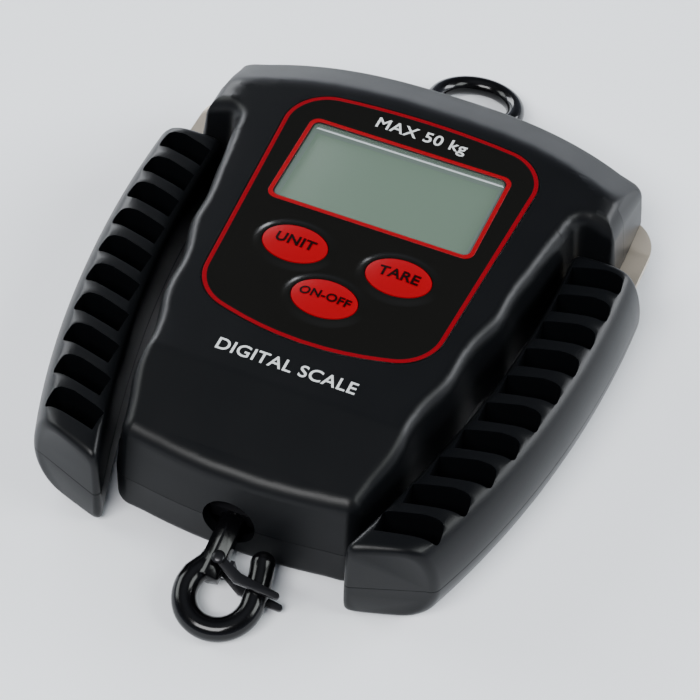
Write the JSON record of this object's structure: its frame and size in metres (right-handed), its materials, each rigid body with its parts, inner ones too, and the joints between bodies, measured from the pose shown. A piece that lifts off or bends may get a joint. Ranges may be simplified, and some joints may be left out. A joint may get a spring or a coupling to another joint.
{
  "type": "hanging scale",
  "caption": "Handheld digital hanging scale with a wide-shouldered black body, red buttons, slotted fold-out side handles, a top ring and a latched load hook.",
  "frame": {"origin": "on the flat back, on the body's centre line and 59.8 mm from its lower wall", "axes": "+Z out of the face, +Y from the hook towards the ring, +X to the right seen from the front"},
  "size_m": [0.1138, 0.1695, 0.0292],
  "materials": {
    "housing": "fine satin texture",
    "overlay": "gloss",
    "window": "clear",
    "lcd": "smooth",
    "button": "satin",
    "switch": "matt",
    "grip": "fine satin texture",
    "bare_steel": "satin",
    "steel": "satin",
    "hook": "gloss",
    "latch": "gloss",
    "aluminium": "milled",
    "board": "solder resist",
    "gauge": "foil",
    "battery": "gloss"
  },
  "bodies": {
    "housing": {"front_cover": "housing", "rear_cover": "housing", "graphic_overlay": "overlay", "display_window": "window", "lcd_module": "lcd", "circuit_board": "board", "unit_switch": "switch", "tare_switch": "switch", "power_switch": "switch", "load_cell": "aluminium", "strain_gauge": "gauge", "hook_pin": "steel", "ring_pin": "steel", "battery_door": "housing", "door_screw": "steel", "left_battery": "battery", "right_battery": "battery", "lower_battery_contact": "steel", "upper_battery_contact": "steel", "cover_screw_1": "steel", "cover_screw_2": "steel", "cover_screw_3": "steel", "cover_screw_4": "steel", "left_pivot_pin": "steel", "right_pivot_pin": "steel"},
    "left_handle": {"left_arm": "bare_steel", "left_handle_front": "grip", "left_handle_rear": "grip", "left_handle_screw_1": "steel", "left_handle_screw_2": "steel"},
    "right_handle": {"right_arm": "bare_steel", "right_handle_front": "grip", "right_handle_rear": "grip", "right_handle_screw_1": "steel", "right_handle_screw_2": "steel"},
    "unit_key": {"unit_button": "button"},
    "tare_key": {"tare_button": "button"},
    "power_key": {"power_button": "button"},
    "hook_stirrup": {"hook_yoke": "latch"},
    "load_hook": {"hook": "hook", "hook_nut": "latch", "latch_rivet": "steel"},
    "latch": {"hook_latch": "latch", "latch_spring": "steel"},
    "ring_stirrup": {"ring_yoke": "latch"},
    "ring": {"top_ring": "hook", "ring_nut": "latch"}
  },
  "joints": [
    {"name": "left_handle_fold", "type": "hinge", "parent": "housing", "child": "left_handle", "pos_m": [-0.0435, 0.0415, 0.01], "axis": [0, 0, -1], "range_deg": [0, 90]},
    {"name": "right_handle_fold", "type": "hinge", "parent": "housing", "child": "right_handle", "pos_m": [0.0435, 0.0415, 0.01], "axis": [0, 0, 1], "range_deg": [0, 90]},
    {"name": "unit_press", "type": "slide", "parent": "housing", "child": "unit_key", "axis": [0, 0, -1], "range_m": [0, 0.0006], "stiffness_N_per_m": 600, "springref_m": -0.0004},
    {"name": "tare_press", "type": "slide", "parent": "housing", "child": "tare_key", "axis": [0, 0, -1], "range_m": [0, 0.0006], "stiffness_N_per_m": 600, "springref_m": -0.0004},
    {"name": "power_press", "type": "slide", "parent": "housing", "child": "power_key", "axis": [0, 0, -1], "range_m": [0, 0.0006], "stiffness_N_per_m": 600, "springref_m": -0.0004},
    {"name": "hook_tilt", "type": "hinge", "parent": "housing", "child": "hook_stirrup", "pos_m": [0, -0.0505, 0.01], "axis": [-1, 0, 0], "range_deg": [0, 28]},
    {"name": "hook_swivel", "type": "hinge", "parent": "hook_stirrup", "child": "load_hook", "pos_m": [0, -0.0505, 0.01], "axis": [0, -0.9668, -0.2555], "continuous": true},
    {"name": "latch_open", "type": "hinge", "parent": "load_hook", "child": "latch", "pos_m": [0.0015, -0.06655, 0.00576], "axis": [0, 0.2555, -0.9668], "range_deg": [0, 35], "stiffness_Nm_per_rad": 0.002, "springref_deg": -28.65},
    {"name": "ring_tilt", "type": "hinge", "parent": "housing", "child": "ring_stirrup", "pos_m": [0, 0.0516, 0.01], "axis": [1, 0, 0], "range_deg": [0, 25]},
    {"name": "ring_swivel", "type": "hinge", "parent": "ring_stirrup", "child": "ring", "pos_m": [0, 0.0516, 0.01], "axis": [0, 0.9736, -0.2283], "continuous": true}
  ]
}
